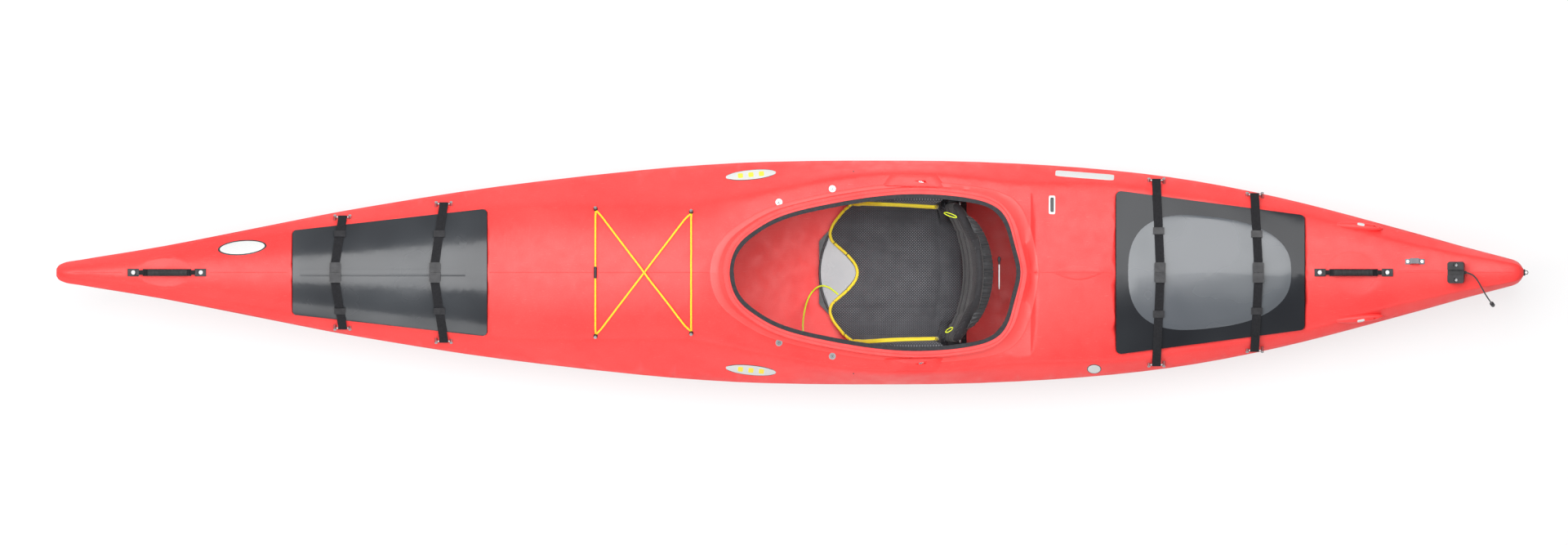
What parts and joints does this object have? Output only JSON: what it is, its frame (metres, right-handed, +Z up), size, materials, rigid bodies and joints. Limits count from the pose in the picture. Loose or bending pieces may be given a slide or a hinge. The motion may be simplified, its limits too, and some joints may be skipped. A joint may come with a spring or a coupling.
{
  "type": "touring kayak",
  "caption": "One-seat closed-deck touring kayak with an open cockpit, padded seat, strapped hatches, carry handles and rudder fittings.",
  "frame": {"origin": "on the ground under the keel, midway along the whole boat and on its centreline", "axes": "+X aft (the bow is at -X), +Y starboard, +Z up"},
  "size_m": [4.215, 0.6406, 0.4019],
  "materials": {
    "hull_red": "satin, rotomoulded polyethylene",
    "hatch_black": "glossy moulded plastic",
    "seal_rubber": "matt cellular rubber",
    "rim_trim": "satin extruded trim",
    "webbing_black": "woven webbing",
    "buckle_black": "satin acetal",
    "screw_steel": "stainless",
    "seat_grey": "glossy moulded plastic",
    "seat_foam": "perforated padded fabric",
    "brace_black": "moulded plastic",
    "bungee_yellow": "braided shock cord",
    "cord_black": "braided cord",
    "cord_lime": "braided cord",
    "bulkhead_red": "moulded plastic",
    "rail_aluminium": "anodised",
    "fitting_black": "moulded plastic"
  },
  "bodies": {
    "hull": {"hull_shell": "hull_red", "cockpit_edge_trim": "rim_trim", "front_bulkhead": "bulkhead_red", "rear_bulkhead": "bulkhead_red", "deck_screws": "screw_steel", "rim_screws": "screw_steel", "footrest_screws": "screw_steel", "rudder_cable_tubes": "fitting_black", "seat_pan": "seat_grey", "seat_cushion": "seat_foam", "hip_pads": "seat_foam", "backrest_pins": "screw_steel", "thigh_braces": "brace_black", "footrest_rails": "rail_aluminium", "strap_anchor_bars": "screw_steel", "strap_anchor_screws": "screw_steel", "handle_end_plates": "fitting_black", "handle_screws": "screw_steel", "deck_bungee": "bungee_yellow", "bungee_sleeve": "fitting_black", "bungee_anchors": "fitting_black", "bungee_anchor_screws": "screw_steel", "rudder_park_block": "fitting_black", "towing_bracket": "screw_steel", "stern_fitting_screws": "screw_steel", "rudder_pin_socket": "fitting_black", "rudder_cable_fairings": "hull_red", "park_cord": "cord_black", "seat_cord": "cord_lime", "park_cord_toggle": "fitting_black"},
    "front_hatch": {"front_hatch_lid": "hatch_black", "front_hatch_gasket": "seal_rubber"},
    "rear_hatch": {"rear_hatch_lid": "hatch_black", "rear_hatch_gasket": "seal_rubber"},
    "bow_handle": {"bow_handle_strap": "webbing_black", "bow_handle_grip": "seal_rubber"},
    "stern_handle": {"stern_handle_strap": "webbing_black", "stern_handle_grip": "seal_rubber"},
    "backrest": {"backrest_pad": "seat_foam", "backrest_band": "seat_foam", "backrest_toggle": "fitting_black"},
    "footrest_pedal_port": {"footrest_pedal_port": "fitting_black"},
    "footrest_pedal_starboard": {"footrest_pedal_starboard": "fitting_black"},
    "front_strap_1_port": {"front_strap_1_port_webbing": "webbing_black", "front_strap_1_port_buckle": "buckle_black"},
    "front_strap_1_starboard": {"front_strap_1_starboard_webbing": "webbing_black", "front_strap_1_starboard_buckle": "buckle_black"},
    "front_strap_2_port": {"front_strap_2_port_webbing": "webbing_black", "front_strap_2_port_buckle": "buckle_black"},
    "front_strap_2_starboard": {"front_strap_2_starboard_webbing": "webbing_black", "front_strap_2_starboard_buckle": "buckle_black"},
    "rear_strap_1_port": {"rear_strap_1_port_webbing": "webbing_black", "rear_strap_1_port_buckle": "buckle_black"},
    "rear_strap_1_starboard": {"rear_strap_1_starboard_webbing": "webbing_black", "rear_strap_1_starboard_buckle": "buckle_black"},
    "rear_strap_2_port": {"rear_strap_2_port_webbing": "webbing_black", "rear_strap_2_port_buckle": "buckle_black"},
    "rear_strap_2_starboard": {"rear_strap_2_starboard_webbing": "webbing_black", "rear_strap_2_starboard_buckle": "buckle_black"}
  },
  "joints": [
    {"name": "front_hatch_lift", "type": "slide", "parent": "hull", "child": "front_hatch", "axis": [0, 0, 1], "range_m": [0, 0.075]},
    {"name": "rear_hatch_lift", "type": "slide", "parent": "hull", "child": "rear_hatch", "axis": [0, 0, 1], "range_m": [0, 0.075]},
    {"name": "front_strap_1_port_swing", "type": "hinge", "parent": "hull", "child": "front_strap_1_port", "pos_m": [-1.2885, -0.15869, 0.23534], "axis": [1, 0, 0], "range_deg": [0, 110]},
    {"name": "front_strap_1_starboard_swing", "type": "hinge", "parent": "hull", "child": "front_strap_1_starboard", "pos_m": [-1.2885, 0.15869, 0.23534], "axis": [-1, 0, 0], "range_deg": [0, 110]},
    {"name": "front_strap_2_port_swing", "type": "hinge", "parent": "hull", "child": "front_strap_2_port", "pos_m": [-0.9987, -0.19649, 0.23652], "axis": [1, 0, 0], "range_deg": [0, 110]},
    {"name": "front_strap_2_starboard_swing", "type": "hinge", "parent": "hull", "child": "front_strap_2_starboard", "pos_m": [-0.9987, 0.19649, 0.23652], "axis": [-1, 0, 0], "range_deg": [0, 110]},
    {"name": "rear_strap_1_port_swing", "type": "hinge", "parent": "hull", "child": "rear_strap_1_port", "pos_m": [1.0425, -0.26385, 0.20401], "axis": [1, 0, 0], "range_deg": [0, 110]},
    {"name": "rear_strap_1_starboard_swing", "type": "hinge", "parent": "hull", "child": "rear_strap_1_starboard", "pos_m": [1.0425, 0.26385, 0.20401], "axis": [-1, 0, 0], "range_deg": [0, 110]},
    {"name": "rear_strap_2_port_swing", "type": "hinge", "parent": "hull", "child": "rear_strap_2_port", "pos_m": [1.3239, -0.2228, 0.18731], "axis": [1, 0, 0], "range_deg": [0, 110]},
    {"name": "rear_strap_2_starboard_swing", "type": "hinge", "parent": "hull", "child": "rear_strap_2_starboard", "pos_m": [1.3239, 0.2228, 0.18731], "axis": [-1, 0, 0], "range_deg": [0, 110]},
    {"name": "bow_handle_swing", "type": "hinge", "parent": "hull", "child": "bow_handle", "pos_m": [-1.79086, 0, 0.30673], "axis": [0.9993, 0, -0.0378], "range_deg": [-55, 55]},
    {"name": "stern_handle_swing", "type": "hinge", "parent": "hull", "child": "stern_handle", "pos_m": [1.60711, 0, 0.26114], "axis": [0.9996, 0, 0.0295], "range_deg": [-55, 55]},
    {"name": "backrest_tilt", "type": "hinge", "parent": "hull", "child": "backrest", "pos_m": [0.4797, 0, 0.118], "axis": [0, 1, 0], "range_deg": [-10, 10]},
    {"name": "footrest_slide_port", "type": "slide", "parent": "hull", "child": "footrest_pedal_port", "axis": [0.9918, -0.1278, 0], "range_m": [-0.15, 0.15]},
    {"name": "footrest_slide_starboard", "type": "slide", "parent": "hull", "child": "footrest_pedal_starboard", "axis": [0.9918, 0.1278, 0], "range_m": [-0.15, 0.15]}
  ],
  "couplings": [
    {"joint": "front_strap_1_port_swing", "follows": "front_hatch_lift", "rad_per_m": 25},
    {"joint": "front_strap_1_starboard_swing", "follows": "front_hatch_lift", "rad_per_m": 25},
    {"joint": "front_strap_2_port_swing", "follows": "front_hatch_lift", "rad_per_m": 25},
    {"joint": "front_strap_2_starboard_swing", "follows": "front_hatch_lift", "rad_per_m": 25},
    {"joint": "rear_strap_1_port_swing", "follows": "rear_hatch_lift", "rad_per_m": 25},
    {"joint": "rear_strap_1_starboard_swing", "follows": "rear_hatch_lift", "rad_per_m": 25},
    {"joint": "rear_strap_2_port_swing", "follows": "rear_hatch_lift", "rad_per_m": 25},
    {"joint": "rear_strap_2_starboard_swing", "follows": "rear_hatch_lift", "rad_per_m": 25}
  ]
}
